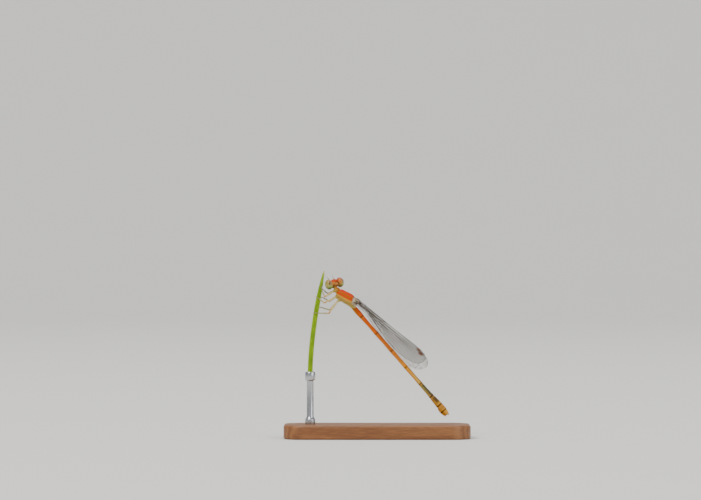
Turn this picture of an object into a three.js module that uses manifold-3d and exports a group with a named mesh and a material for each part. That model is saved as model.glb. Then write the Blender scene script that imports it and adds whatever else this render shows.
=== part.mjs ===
// A small orange damselfly at life size, wings folded, clinging to a short cut leaf blade that a
// plain display stand holds up. Millimetres, +Z up. The origin is the middle of the underside of
// the stand's base. X runs along the base, and the insect shows its left side towards -Y.
import * as THREE from "three";
import { mergeVertices } from "three/addons/utils/BufferGeometryUtils.js";
import Module from "manifold-3d";

// Driving dimensions, in mm and degrees.
const GAP = 0.25; // air between two pieces that meet
const LIMB = 0.5; // least thickness of a leg, feeler or wing
const SLIVER = 0.004; // facets finer than this are dropped where pieces join

const BASE = { length: 27, width: 12, height: 2, corner: 3, bevel: 0.3 };
const ROD = {
  radius: 0.5,
  collarRadius: 0.75,
  footHeight: 0.5,
  footSlope: 0.3,
  socketHeight: 0.88,
  socketSlope: 0.22,
};
const PERCH = {
  x: -9.68,
  y: 0.5,
  foot: 9.6,
  tip: 24.3,
  lean: 2.03,
  curve: 1.65,
  width: 0.74,
  thickness: 0.5,
  tipSize: 0.3,
  taper: 4.6,
  rings: [0, 0.2, 0.4, 0.55, 0.68, 0.78, 0.86, 0.93, 0.97, 1],
};

// The insect's own frame: X back along the abdomen, Y to its right, Z up out of its back.
const INSECT = { position: [-3.28, 0, 18.81], slope: 48.8, roll: 12 };

const ABDOMEN_JOINTS = [0, 1.67, 4.92, 8.25, 11.39, 14.57, 16.99, 18.71, 20.35];
const HEAD = { position: [-6.17, 0.35, 22.4], turn: 52, nod: 8, tilt: 9.5 };
const EYE = { apart: 1.97, deep: 0.68, wide: 0.54, tall: 0.73, innerFace: 0.66 };

const FOREWING = { length: 13.95, width: 2.75, slope: 9.7, root: [-0.6, 1.125, 1.12] };
const HINDWING = { length: 12.7, width: 2.2, slope: 10.9, root: [-0.05, 0.375, 1.26] };
// The left pair is held a little higher than the right one, by twice the stagger.
const WING = { membrane: 0.38, stalkWidth: 0.5, stalkEnd: 0.12, vein: 0.13, stagger: 0.35 };

const LEG = { hip: 0.23, knee: 0.25, ankle: 0.2, toe: 0.11, bend: 0.3 };
const NAPE = { middle: [-3.82, 0, -0.2], radius: 0.7 };
const HEAD_REACH = 4; // farther than any part of the head is from its middle

// How many facets go round each kind of piece.
const SIDES = {
  leaf: 12,
  rod: 20,
  neck: 14,
  thorax: 20,
  abdomen: 14,
  keel: 10,
  clasper: 6,
  boss: 8,
  limb: 8,
  lobe: 16,
  eye: 20,
};
const BALL_ROWS = 0.7; // a ball's rows of facets for each of its columns
const ABDOMEN_STEP = 0.5; // length of abdomen to each ring

// Colour, roughness, metalness.
const FINISHES = {
  orange: [0xd2560f, 0.5, 0],
  redOrange: [0xc8480c, 0.5, 0],
  paleOrange: [0xc8863c, 0.5, 0],
  oliveTan: [0xa98a50, 0.5, 0],
  cream: [0xb3a262, 0.5, 0],
  eyeGreen: [0x98a060, 0.25, 0],
  wing: [0x8a8f78, 0.3, 0],
  leaf: [0x86a010, 0.5, 0],
  wood: [0x9a7048, 0.55, 0],
  steel: [0xa8aaac, 0.3, 1],
};

const wasm = await Module();
wasm.setup();

const radians = THREE.MathUtils.degToRad;
const vector = (point) => new THREE.Vector3(...point);

function closed(geometry) {
  const bare = geometry.clone();
  bare.deleteAttribute("normal");
  bare.deleteAttribute("uv");
  return mergeVertices(bare, 1e-4);
}

function solid(geometry) {
  const bare = closed(geometry);
  const vertProperties = bare.attributes.position.array;
  const triVerts = new Uint32Array(bare.index.array);
  return new wasm.Manifold(new wasm.Mesh({ numProp: 3, vertProperties, triVerts }));
}

// The largest closed surface of a joined solid, as a three.js geometry.
function geometryOf(shape) {
  const bodies = shape.asOriginal().simplify(SLIVER).decompose();
  const largest = bodies.sort((a, b) => b.volume() - a.volume())[0];
  const mesh = largest.getMesh();
  const geometry = new THREE.BufferGeometry();
  geometry.setAttribute("position", new THREE.BufferAttribute(mesh.vertProperties, 3));
  geometry.setIndex(new THREE.BufferAttribute(mesh.triVerts, 1));
  const faceted = geometry.toNonIndexed();
  faceted.computeVertexNormals();
  return faceted;
}

const fuse = (pieces) => geometryOf(pieces.map(solid).reduce((all, next) => all.add(next)));

// A skin over rings: each ring has a middle, two directions and a half-size along each, and may
// have a function of its own for its outline. The first ring is the grid's top row.
function loft(rings, sides) {
  const last = rings.length - 1;
  const geometry = new THREE.CylinderGeometry(1, 1, last, sides, last);
  const place = geometry.attributes.position;
  for (let i = 0; i < place.count; i += 1) {
    const ring = rings[Math.round(last / 2 - place.getY(i))];
    const across = place.getX(i);
    const along = place.getZ(i);
    const [a, b] = ring.outline ? ring.outline(along, across) : [along, across];
    const point = ring.middle.clone();
    point.addScaledVector(ring.up, a * ring.height).addScaledVector(ring.side, b * ring.width);
    place.setXYZ(i, point.x, point.y, point.z);
  }
  geometry.computeVertexNormals();
  return geometry;
}

// Rings along the insect's X axis from rows of [x, underside, middle, top, half width].
// A roof under 2 draws the back up towards a keel, as on a thorax.
function bodyLoft(rows, sides, roof = 2) {
  const rings = rows.map(([x, underside, middle, top, width]) => ({
    middle: new THREE.Vector3(x, 0, middle),
    up: new THREE.Vector3(0, 0, 1),
    side: new THREE.Vector3(0, 1, 0),
    height: 1,
    width,
    outline: (along, across) => {
      if (along < 0) return [along * (middle - underside), across];
      const rise = Math.sqrt(Math.max(0, 1 - Math.abs(across) ** roof));
      return [(across === 0 && along === 0 ? 0 : rise) * (top - middle), across];
    },
  }));
  return loft(rings, sides);
}

// A line through joints with each inner corner rounded off, as points with a radius.
function roundedLine(joints, radii, bend) {
  const line = [{ point: joints[0], radius: radii[0] }];
  for (let i = 1; i < joints.length - 1; i += 1) {
    const before = joints[i - 1].clone().sub(joints[i]).setLength(bend).add(joints[i]);
    const after = joints[i + 1].clone().sub(joints[i]).setLength(bend).add(joints[i]);
    const corner = new THREE.QuadraticBezierCurve3(before, joints[i], after);
    for (const t of [0, 0.5, 1]) line.push({ point: corner.getPoint(t), radius: radii[i] });
  }
  line.push({ point: joints.at(-1), radius: radii.at(-1) });
  return line;
}

// A round tapering tube along a line of points, its ends closed.
function tube(line, sides) {
  const point = (i) => line[THREE.MathUtils.clamp(i, 0, line.length - 1)].point;
  let up = new THREE.Vector3(0.31, 0.17, 0.93);
  const rings = line.map(({ point: middle, radius }, i) => {
    const ahead = point(i + 1).clone().sub(point(i - 1)).normalize();
    up = up.clone().addScaledVector(ahead, -up.dot(ahead)).normalize();
    const side = new THREE.Vector3().crossVectors(up, ahead);
    return { middle, up, side, height: radius, width: radius };
  });
  return loft(rings, sides);
}

function finish(name) {
  const [color, roughness, metalness] = FINISHES[name];
  return new THREE.MeshStandardMaterial({ color, roughness, metalness });
}

function piece(parent, name, geometry, finishName) {
  const mesh = new THREE.Mesh(geometry, finish(finishName));
  mesh.name = name;
  parent.add(mesh);
  return mesh;
}

const damselfly = new THREE.Group();
const stand = new THREE.Group();
const insect = new THREE.Group();
insect.position.set(...INSECT.position);
insect.rotation.set(radians(INSECT.roll), radians(INSECT.slope), 0, "YXZ");
const head = new THREE.Group();
head.position.set(...HEAD.position);
// X out of the face, Y to the head's left, Z out of its crown. It looks away to the far side.
head.rotation.set(radians(-HEAD.tilt), radians(-HEAD.nod), radians(180 - HEAD.turn), "ZYX");
damselfly.add(stand, insect, head);
damselfly.updateMatrixWorld(true);

// The leaf blade: its middle at a height, as it leans and curves up to a narrow tip.
function perchX(z) {
  const t = (z - PERCH.foot) / (PERCH.tip - PERCH.foot);
  return PERCH.x + PERCH.lean * t ** PERCH.curve;
}

function perchScale(z) {
  const t = (PERCH.tip - z) / PERCH.taper;
  return Math.min(1, PERCH.tipSize + (1 - PERCH.tipSize) * Math.sqrt(Math.max(t, 0)));
}

const perchPoint = (z, across, out) => new THREE.Vector3(perchX(z) + across, PERCH.y + out, z);

function perchBlade() {
  const rings = PERCH.rings.map((t) => {
    const z = THREE.MathUtils.lerp(PERCH.tip, PERCH.foot, t);
    const half = perchScale(z) / 2;
    return {
      middle: perchPoint(z, 0, 0),
      up: new THREE.Vector3(1, 0, 0),
      side: new THREE.Vector3(0, 1, 0),
      height: PERCH.width * half,
      width: PERCH.thickness * half,
    };
  });
  return loft(rings, SIDES.leaf);
}

function standBase() {
  const { length, width, height, corner, bevel } = BASE;
  const x = length / 2 - bevel;
  const y = width / 2 - bevel;
  const shape = new THREE.Shape();
  shape.moveTo(-x + corner, -y);
  shape.lineTo(x - corner, -y);
  shape.absarc(x - corner, -y + corner, corner, -Math.PI / 2, 0);
  shape.absarc(x - corner, y - corner, corner, 0, Math.PI / 2);
  shape.absarc(-x + corner, y - corner, corner, Math.PI / 2, Math.PI);
  shape.absarc(-x + corner, -y + corner, corner, Math.PI, 1.5 * Math.PI);
  const geometry = new THREE.ExtrudeGeometry(shape, {
    depth: height - 2 * bevel,
    bevelThickness: bevel,
    bevelSize: bevel,
    bevelSegments: 2,
    curveSegments: 6,
  });
  return geometry.translate(0, 0, bevel);
}

function standRod() {
  const low = BASE.height + GAP;
  const high = PERCH.foot - GAP;
  const profile = [
    [0, low],
    [ROD.collarRadius, low],
    [ROD.collarRadius, low + ROD.footHeight],
    [ROD.radius, low + ROD.footHeight + ROD.footSlope],
    [ROD.radius, high - ROD.socketHeight - ROD.socketSlope],
    [ROD.collarRadius, high - ROD.socketHeight],
    [ROD.collarRadius, high],
    [0, high],
  ].map(([r, z]) => new THREE.Vector2(r, z));
  return new THREE.LatheGeometry(profile, SIDES.rod).rotateX(Math.PI / 2);
}

piece(stand, "stand_base", standBase(), "wood");
const rod = piece(stand, "stand_rod", standRod(), "steel");
rod.position.set(perchX(PERCH.foot), PERCH.y, 0);
piece(damselfly, "perch_blade", perchBlade(), "leaf");

// Thorax and abdomen rows: [x, underside, middle, top, half width].
const PROTHORAX = [
  [-4.08, -0.42, -0.16, 0.1, 0.26],
  [-3.98, -0.55, -0.18, 0.2, 0.4],
  [-3.8, -0.58, -0.2, 0.24, 0.44],
  [-3.7, -0.55, -0.2, 0.2, 0.42],
];

const THORAX = [
  [-3.45, -0.5, -0.1, 0.26, 0.4],
  [-3.3, -0.66, -0.1, 0.4, 0.54],
  [-2.7, -0.9, -0.06, 0.68, 0.73],
  [-2.1, -0.83, 0.02, 0.95, 0.83],
  [-1.5, -0.64, 0.12, 1.16, 0.86],
  [-0.9, -0.44, 0.2, 1.14, 0.77],
  [-0.45, -0.36, 0.22, 0.9, 0.6],
  [-0.13, -0.3, 0.2, 0.62, 0.44],
];

const THORAX_ROOF = 1.5;

// The wings' roots meet bosses on the thorax: the ends and the radius of each, on the right side.
const BOSSES = [
  { from: [-1.75, 0.45, 0.6], to: [-0.95, 1.05, 0.88], radius: 0.32 },
  { from: [-1.05, 0.25, 0.7], to: [-0.55, 0.36, 1.02], radius: 0.28 },
];
const BOSS_OUTLINE = [[0, 0.7], [0.25, 1], [0.75, 1], [1, 0.75]]; // place along, share of the radius

const onSide = (side, [x, y, z]) => new THREE.Vector3(x, side * y, z);

function boss(side, { from, to, radius }) {
  const line = BOSS_OUTLINE.map(([t, share]) => ({
    point: onSide(side, from).lerp(onSide(side, to), t),
    radius: share * radius,
  }));
  return tube(line, SIDES.boss);
}

function thoraxSolid() {
  const bosses = [-1, 1].flatMap((side) => BOSSES.map((place) => boss(side, place)));
  return fuse([bodyLoft(THORAX, SIDES.thorax, THORAX_ROOF), ...bosses]);
}

piece(insect, "prothorax", bodyLoft(PROTHORAX, SIDES.neck), "oliveTan");
piece(insect, "thorax", thoraxSolid(), "orange");

// The abdomen is a thin rod, a little swollen at each joint, and clubbed towards its end.
const GIRTH = [
  [0, 0.36, 0.36],
  [0.5, 0.4, 0.41],
  [1.67, 0.35, 0.36],
  [3.3, 0.28, 0.29],
  [4.92, 0.32, 0.32],
  [6.6, 0.28, 0.29],
  [8.25, 0.32, 0.32],
  [9.8, 0.28, 0.29],
  [11.39, 0.32, 0.32],
  [13, 0.28, 0.29],
  [14.57, 0.33, 0.33],
  [15.8, 0.31, 0.32],
  [16.99, 0.37, 0.38],
  [18.71, 0.46, 0.5],
  [19.6, 0.46, 0.49],
  [20.35, 0.34, 0.36],
];

function girthAt(x) {
  const next = Math.max(1, GIRTH.findIndex((row) => row[0] >= x));
  const [x0, w0, h0] = GIRTH[next - 1];
  const [x1, w1, h1] = GIRTH[next];
  const t = (1 - Math.cos(Math.PI * ((x - x0) / (x1 - x0)))) / 2;
  return [THREE.MathUtils.lerp(w0, w1, t), THREE.MathUtils.lerp(h0, h1, t)];
}

function abdomenLength(from, to) {
  const steps = Math.round((to - from) / ABDOMEN_STEP);
  const rows = Array.from({ length: steps + 1 }, (_, i) => {
    const x = from + ((to - from) * i) / steps;
    const [width, height] = girthAt(x);
    return [x, -height, 0, height, width];
  });
  return bodyLoft(rows, SIDES.abdomen);
}

// Two short claspers above and the egg-laying keel below, X measured from the abdomen's end.
const CLASPER = [
  { place: [-0.6, 0.15, 0.12], radius: 0.13 },
  { place: [0, 0.17, 0.16], radius: 0.14 },
  { place: [0.28, 0.18, 0.14], radius: 0.06 },
];
const KEEL = [
  [-1.5, -0.5, -0.3, -0.1, 0.18],
  [-1, -0.62, -0.3, -0.1, 0.2],
  [-0.2, -0.56, -0.3, -0.1, 0.17],
  [0.12, -0.36, -0.24, -0.1, 0.1],
];

function tailEnd(from, to) {
  const claspers = [-1, 1].map((side) => {
    const line = CLASPER.map(({ place: [x, y, z], radius }) => ({
      point: onSide(side, [to + x, y, z]),
      radius,
    }));
    return tube(line, SIDES.clasper);
  });
  const keel = bodyLoft(KEEL.map(([x, ...sizes]) => [to + x, ...sizes]), SIDES.keel);
  return fuse([abdomenLength(from, to), keel, ...claspers]);
}

const SEGMENTS = {
  s1_s2: "redOrange",
  s3: "orange",
  s4: "orange",
  s5: "orange",
  s6: "paleOrange",
  s7: "oliveTan",
  s8: "paleOrange",
  s9_s10: "paleOrange",
};

Object.entries(SEGMENTS).forEach(([name, colour], i, all) => {
  const isEnd = i === all.length - 1;
  const from = ABDOMEN_JOINTS[i] + GAP / 2;
  const to = ABDOMEN_JOINTS[i + 1] - (isEnd ? 0 : GAP / 2);
  const geometry = isEnd ? tailEnd(from, to) : abdomenLength(from, to);
  piece(insect, `abdomen_${name}`, geometry, colour);
});

// A wing is a flat plate in the plane of the body, its veins standing out of both faces.
// Outline and veins are fractions of the wing's length and width, from the root, leading edge 0.
const TRAILING_EDGE = [
  [0.14, -0.2],
  [0.21, -0.3],
  [0.31, -0.48],
  [0.45, -0.74],
  [0.58, -0.91],
  [0.71, -1],
  [0.82, -0.985],
  [0.905, -0.9],
  [0.96, -0.75],
  [0.99, -0.56],
  [1, -0.4],
  [0.982, -0.2],
  [0.945, -0.07],
  [0.88, 0],
];

const VEINS = [
  [[0.003, -0.012], [0.3, -0.012], [0.6, -0.012], [0.875, -0.012], [0.94, -0.08], [0.975, -0.2]],
  [[0.02, -0.1], [0.2, -0.105], [0.33, -0.085], [0.38, -0.02]],
  [[0.18, -0.15], [0.45, -0.15], [0.7, -0.13], [0.92, -0.12]],
  [[0.2, -0.2], [0.45, -0.27], [0.7, -0.3], [0.975, -0.46]],
  [[0.44, -0.27], [0.7, -0.46], [0.945, -0.73]],
  [[0.38, -0.25], [0.62, -0.56], [0.86, -0.92]],
  [[0.22, -0.24], [0.48, -0.54], [0.74, -0.95]],
  [[0.22, -0.27], [0.4, -0.55], [0.58, -0.87]],
  [[0.38, -0.03], [0.385, -0.25]],
];

const STIGMA = [
  [0.845, -0.02],
  [0.905, -0.03],
  [0.9, -0.15],
  [0.835, -0.14],
];

function plate(shape, thickness) {
  const settings = { depth: thickness, bevelEnabled: false, curveSegments: 2 };
  const geometry = new THREE.ExtrudeGeometry(shape, settings);
  return geometry.translate(0, 0, -thickness / 2).rotateX(Math.PI / 2);
}

// A bar of even width along a line of points.
function veinShape(points, width) {
  const edge = (side) =>
    points.map((point, i) => {
      const before = points[Math.max(i - 1, 0)];
      const after = points[Math.min(i + 1, points.length - 1)];
      const along = after.clone().sub(before).normalize();
      return new THREE.Vector2(-along.y, along.x).multiplyScalar((side * width) / 2).add(point);
    });
  return new THREE.Shape([...edge(-1), ...edge(1).reverse()]);
}

function wing({ length, width }) {
  const at = ([u, v]) => new THREE.Vector2(u * length, v * width);
  const outline = new THREE.Shape();
  outline.moveTo(0, 0);
  outline.lineTo(0, -WING.stalkWidth);
  outline.lineTo(WING.stalkEnd * length, -WING.stalkWidth);
  outline.splineThru(TRAILING_EDGE.map(at));
  outline.lineTo(0, 0);
  const veins = VEINS.map((vein) => plate(veinShape(vein.map(at), WING.vein), LIMB));
  const stigma = plate(new THREE.Shape(STIGMA.map(at)), LIMB);
  return fuse([plate(outline, WING.membrane), ...veins, stigma]);
}

for (const [name, size] of [["forewing", FOREWING], ["hindwing", HINDWING]]) {
  for (const [hand, side] of [["left", -1], ["right", 1]]) {
    const mesh = piece(insect, `${name}_${hand}`, wing(size), "wing");
    mesh.position.copy(onSide(side, size.root));
    mesh.rotation.y = radians(side * WING.stagger - size.slope);
  }
}

// Legs: hip and knee in the insect's frame, ankle and toe by their height and place on the perch,
// as [height, across it, out from its middle].
const LEGS = {
  front_left: {
    hip: [-3.85, -0.46, -0.95],
    knee: [-4.1, -1.42, -1.83],
    ankle: [21.2, 0.42, -0.82],
    toe: [21.95, 0.02, -0.68],
  },
  front_right: {
    hip: [-3.85, 0.46, -0.95],
    knee: [-4.12, 1.3, -1.8],
    ankle: [21.25, 0.75, 0.8],
    toe: [21.75, 0.05, 0.68],
  },
  middle_left: {
    hip: [-3.2, -0.48, -1.08],
    knee: [-3.48, -1.9, -2.4],
    ankle: [20.13, 0.2, -0.82],
    toe: [20.45, -0.5, -0.62],
  },
  middle_right: {
    hip: [-3.2, 0.48, -1.08],
    knee: [-3.16, 1.62, -2.5],
    ankle: [20.3, 0.75, 0.85],
    toe: [20.5, -0.05, 0.68],
  },
  hind_left: {
    hip: [-2.52, -0.45, -1.2],
    knee: [-1.91, -1.87, -2.93],
    ankle: [18.12, 0.4, -0.82],
    toe: [18.14, -0.42, -0.66],
  },
  hind_right: {
    hip: [-2.52, 0.45, -1.2],
    knee: [-2.14, 1.36, -3.2],
    ankle: [18.86, 0.8, 0.85],
    toe: [19.0, 0, 0.68],
  },
};

for (const [name, { hip, knee, ankle, toe }] of Object.entries(LEGS)) {
  const onPerch = (place) => insect.worldToLocal(perchPoint(...place));
  const joints = [vector(hip), vector(knee), onPerch(ankle), onPerch(toe)];
  const radii = [LEG.hip, LEG.knee, LEG.ankle, LEG.toe];
  const line = roundedLine(joints, radii, LEG.bend);
  piece(insect, `leg_${name}`, tube(line, SIDES.limb), "cream");
}

// The head is a bar with an eye at each end and the face standing out between them.
function ellipsoid(place, size, segments) {
  const geometry = new THREE.SphereGeometry(1, segments, Math.round(segments * BALL_ROWS));
  return geometry.scale(...size).translate(...place);
}

function slab(low, high) {
  const geometry = new THREE.BoxGeometry(2 * HEAD_REACH, high - low, 2 * HEAD_REACH);
  return solid(geometry.translate(0, (low + high) / 2, 0));
}

const LOBES = {
  bar: { place: [-0.04, 0, 0.02], size: [0.52, 1, 0.6] },
  crown: { place: [0.08, 0, 0.16], size: [0.42, 0.5, 0.48] },
  face: { place: [0.42, 0, -0.08], size: [0.34, 0.42, 0.3] },
  mouth: { place: [0.44, 0, -0.48], size: [0.24, 0.34, 0.24] },
  chin: { place: [0.1, 0, -0.56], size: [0.28, 0.32, 0.2] },
};

// The back of the head is hollowed where the front of the thorax sits in it.
function headSolid() {
  const reach = EYE.innerFace - GAP;
  const lobes = Object.values(LOBES).map(({ place, size }) => ellipsoid(place, size, SIDES.lobe));
  const whole = lobes.map(solid).reduce((all, next) => all.add(next));
  const nape = head.worldToLocal(insect.localToWorld(vector(NAPE.middle)));
  const { radius } = NAPE;
  const hollow = solid(ellipsoid(nape.toArray(), [radius, radius, radius], SIDES.lobe));
  return geometryOf(whole.intersect(slab(-reach, reach)).subtract(hollow));
}

function eyeSolid(side) {
  const place = [0, (side * EYE.apart) / 2, 0];
  const whole = solid(ellipsoid(place, [EYE.deep, EYE.wide, EYE.tall], SIDES.eye));
  const outer = side > 0 ? slab(EYE.innerFace, HEAD_REACH) : slab(-HEAD_REACH, -EYE.innerFace);
  return geometryOf(whole.intersect(outer));
}

const FEELER = [
  { place: [0.6, 0.36, 0.62], radius: 0.22 },
  { place: [0.78, 0.4, 0.82], radius: 0.22 },
  { place: [1, 0.48, 1.02], radius: 0.16 },
  { place: [1.22, 0.58, 1.14], radius: 0.1 },
];

piece(head, "head", headSolid(), "orange");
for (const [hand, side] of [["left", 1], ["right", -1]]) {
  piece(head, `eye_${hand}`, eyeSolid(side), "eyeGreen");
  const line = FEELER.map(({ place, radius }) => ({ point: onSide(side, place), radius }));
  piece(head, `antenna_${hand}`, tube(line, SIDES.limb), "cream");
}

export default damselfly;
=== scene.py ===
# %% [markdown]
# # A small orange damselfly on a cut leaf blade
# A display model at life size: the insect grips a short length of leaf, which a rod and a wooden
# base hold up. The solids of the model come in first, as a fixed frame in metres, and every new
# piece goes where they are. This lesson shows how such a tiny, shiny, see-through animal is made
# with Blender's own operators.

# %% The frame
import random
from math import atan2, cos, pi, radians, sin, sqrt

import bmesh
import bpy
from mathutils import Euler, Matrix, Vector


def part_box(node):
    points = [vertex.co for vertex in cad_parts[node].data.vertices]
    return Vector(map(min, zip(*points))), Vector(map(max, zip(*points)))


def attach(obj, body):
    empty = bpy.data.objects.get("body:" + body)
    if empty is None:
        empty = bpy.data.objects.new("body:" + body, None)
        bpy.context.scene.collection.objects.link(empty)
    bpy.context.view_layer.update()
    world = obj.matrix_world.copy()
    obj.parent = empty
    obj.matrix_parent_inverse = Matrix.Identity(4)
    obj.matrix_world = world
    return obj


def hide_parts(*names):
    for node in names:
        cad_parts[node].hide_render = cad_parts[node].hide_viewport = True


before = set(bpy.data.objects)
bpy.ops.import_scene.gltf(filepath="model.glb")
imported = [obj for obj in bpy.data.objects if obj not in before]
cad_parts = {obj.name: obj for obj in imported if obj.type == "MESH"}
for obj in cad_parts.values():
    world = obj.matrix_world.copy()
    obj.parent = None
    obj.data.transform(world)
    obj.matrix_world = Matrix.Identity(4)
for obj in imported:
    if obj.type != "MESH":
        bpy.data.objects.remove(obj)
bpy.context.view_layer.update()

# %% [markdown]
# ## Working in millimetres
# Blender's tools like things that are a few units across, and this animal is 20 mm long. So each
# piece is modelled at one unit to the millimetre, in the frame that suits it: the body's, the
# head's or the stand's. A last step shrinks it to metres and sets it in place, and applies that to
# the mesh, so that the object itself stays at the origin. The frames are the same ones that the
# solids were built in.

# %% The frames
MM = 0.001
SHRINK = Matrix.Scale(MM, 4)


def frame_at(place, *degrees):
    """A frame at a place in mm, turned about X, then Y, then Z."""
    turn = Euler([radians(angle) for angle in degrees]).to_matrix().to_4x4()
    return Matrix.Translation(Vector(place)) @ turn


STAND = Matrix.Identity(4)
BODY = frame_at((-3.28, 0, 18.81), 12, 48.8, 0)  # X to the tail, Y to its right, Z up
HEAD = frame_at((-6.17, 0.35, 22.4), -9.5, -8, 128)  # X out of the face, Z out of the crown
print("face looks towards", [round(v, 2) for v in HEAD.to_3x3() @ Vector((1, 0, 0))])

# %% Picking, finishing and setting in place
CREASE_ANGLE = radians(50)  # edges sharper than this stay sharp


def pick(*objects):
    """Leaves object mode, deselects everything and selects only these, the last one active."""
    if bpy.context.object and bpy.context.object.mode != "OBJECT":
        bpy.ops.object.mode_set(mode="OBJECT")
    bpy.ops.object.select_all(action="DESELECT")
    for each in objects:
        each.select_set(True)
        bpy.context.view_layer.objects.active = each


def named(name):
    made = bpy.context.object
    made.name = name
    made.data.name = name
    return made


def apply_place():
    bpy.ops.object.transform_apply(location=True, rotation=True, scale=True)


def modify(piece, kind, **settings):
    """Adds a modifier, sets it and applies it."""
    pick(piece)
    modifier = piece.modifiers.new(kind.title(), kind)
    for key, value in settings.items():
        setattr(modifier, key, value)
    bpy.ops.object.modifier_apply(modifier=modifier.name)
    return piece


def rounded(piece):
    return modify(piece, "SUBSURF", levels=1, render_levels=1)


def joined(name, pieces):
    pick(*pieces)
    bpy.ops.object.join()
    return named(name)


def set_down(piece, home, material, slot, *nodes):
    """Shrinks a piece to metres in its frame, gives it its finish and ties it to the solids."""
    pick(piece)
    piece.matrix_world = SHRINK @ home @ piece.matrix_world
    apply_place()
    bpy.ops.object.shade_smooth_by_angle(angle=CREASE_ANGLE)
    piece.data.materials.clear()
    piece.data.materials.append(material)
    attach(piece, "root")
    if nodes:
        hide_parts(*nodes)
    print(piece.name, "faces:", len(piece.data.polygons))


# %% [markdown]
# ## Growing a skin ring by ring
# Most of an insect is a row of tubes: the tail, the legs, the feelers. Each could be a cylinder
# with loop cuts, but those need a window. Instead a circle is filled and its face extruded again
# and again, and after each extrusion the new ring is moved to its station. Every vertex carries a
# number that says where it is round the ring, and extruding copies that number, so a whole ring
# can be placed by one rule.


# %% The growing tool
def around(turn):
    """The cosine and sine of a place round a ring, which runs from 0 to 1."""
    angle = 2 * pi * turn
    return cos(angle), sin(angle)


def grow(name, rings, sides):
    """A closed skin. Each ring is a function from a place round it to a point."""
    pick()
    bpy.ops.mesh.primitive_circle_add(vertices=sides, radius=1, fill_type="NGON")
    skin = named(name)
    bpy.ops.object.mode_set(mode="EDIT")
    shape = bmesh.from_edit_mesh(skin.data)
    turn = shape.verts.layers.float.new("turn")
    for vertex in shape.verts:
        vertex[turn] = (atan2(vertex.co.y, vertex.co.x) / (2 * pi)) % 1
    for number, ring in enumerate(rings):
        if number:
            bpy.ops.mesh.extrude_region_move(TRANSFORM_OT_translate={"value": (0, 0, 0)})
            shape = bmesh.from_edit_mesh(skin.data)
            turn = shape.verts.layers.float["turn"]
        for vertex in shape.verts:
            if vertex.select:
                vertex.co = ring(vertex[turn])
    bpy.ops.mesh.select_all(action="SELECT")
    bpy.ops.mesh.normals_make_consistent(inside=False)
    bpy.ops.object.mode_set(mode="OBJECT")
    return skin


def smooth_table(rows, at):
    """The row of a table at a place in its first column, eased through its neighbours."""
    places = [row[0] for row in rows]
    at = min(max(at, places[0]), places[-1])
    i = max(n for n in range(len(rows) - 1) if places[n] <= at)
    width = places[i + 1] - places[i]
    t = (at - places[i]) / width
    out = []
    for column in range(1, len(rows[0])):
        def slope(n):
            before, after = max(n - 1, 0), min(n + 1, len(rows) - 1)
            rise = rows[after][column] - rows[before][column]
            return rise / (places[after] - places[before]) * width

        a, b = rows[i][column], rows[i + 1][column]
        blend = t * t * (3 - 2 * t)
        bend = t * (1 - t) * ((1 - t) * slope(i) - t * slope(i + 1))
        out.append(a + (b - a) * blend + bend)
    return out


def stations(start, end, count):
    return [start + (end - start) * n / (count - 1) for n in range(count)]


def tube(name, line, sides):
    """A round tube through (point, radius) pairs, without twist."""
    points = [Vector(point) for point, _ in line]
    up = Vector((0.31, 0.17, 0.93))
    rings = []
    for n, (_, radius) in enumerate(line):
        ahead = (points[min(n + 1, len(points) - 1)] - points[max(n - 1, 0)]).normalized()
        up = (up - up.dot(ahead) * ahead).normalized()

        def ring(turn, point=points[n], up=up, side=up.cross(ahead), radius=radius):
            along_up, along_side = around(turn)
            return point + radius * (along_up * up + along_side * side)

        rings.append(ring)
    return grow(name, rings, sides)


# %% [markdown]
# ## Melting lumps into one skin
# The head, the collar and the thorax are swollen boxes whose plates run into one another. They
# could be sculpted by hand, but a script can't repeat that. So balls are laid over each other, a
# voxel remesh melts them into one closed skin, and seams are pressed in along lines of points.


# %% Melting lumps together
def on_side(line, side):
    """A line of points on the right, side 1, or mirrored to the left, side -1."""
    return [(x, side * y, z) for x, y, z in line]


def ball(place, size, turn=(0, 0, 0), segments=32):
    pick()
    turn = [radians(angle) for angle in turn]
    bpy.ops.mesh.primitive_uv_sphere_add(
        segments=segments, ring_count=segments // 2, location=place, rotation=turn, scale=size
    )
    return bpy.context.object


def balls(rows, side=1):
    """Balls from rows of a place, a size and, where one is turned, its degrees."""
    return [ball(*on_side([place], side), *rest) for place, *rest in rows]


def weld(name, parts, grain, smoothing):
    """Melts overlapping closed shapes into one skin and evens it out."""
    skin = joined(name, parts)
    pick(skin)
    apply_place()
    modify(skin, "REMESH", mode="VOXEL", voxel_size=grain, use_smooth_shade=True)
    modify(skin, "SMOOTH", factor=0.5, iterations=smoothing)
    return skin


def crease(skin, line, width, depth):
    """Presses a soft groove into a skin along a line of points, or raises it if depth is negative."""
    pieces = [(Vector(a), Vector(b)) for a, b in zip(line, line[1:])]
    moves = []
    for vertex in skin.data.vertices:
        far = width * 2
        for a, b in pieces:
            along = b - a
            t = min(max((vertex.co - a).dot(along) / along.length_squared, 0), 1)
            far = min(far, (vertex.co - a - t * along).length)
        if far < width:
            push = depth * (0.5 + 0.5 * cos(pi * far / width))
            moves.append((vertex, vertex.co - push * vertex.normal))
    for vertex, place in moves:
        vertex.co = place


# %% [markdown]
# ## Shader maths as plain sums
# A pattern such as a dark ring at each joint is a sum over the point's place. Building it node by
# node hides the idea, so a small class wraps a socket: adding or multiplying two of them adds the
# Math node. Colours are mixed, never added, as a Math node would turn them grey. Most finishes
# then lay coat over coat, each with a mask that says where it shows.


# %% The shader tools
def sum_of(operation, turned_round=False):
    """A method that adds a Math node, with its values turned round for 1 - mask and the like."""
    def add_node(field, *others):
        values = (*others, field) if turned_round else (field, *others)
        return field.finish.node("ShaderNodeMath", {"operation": operation}, *values)

    return add_node


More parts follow.
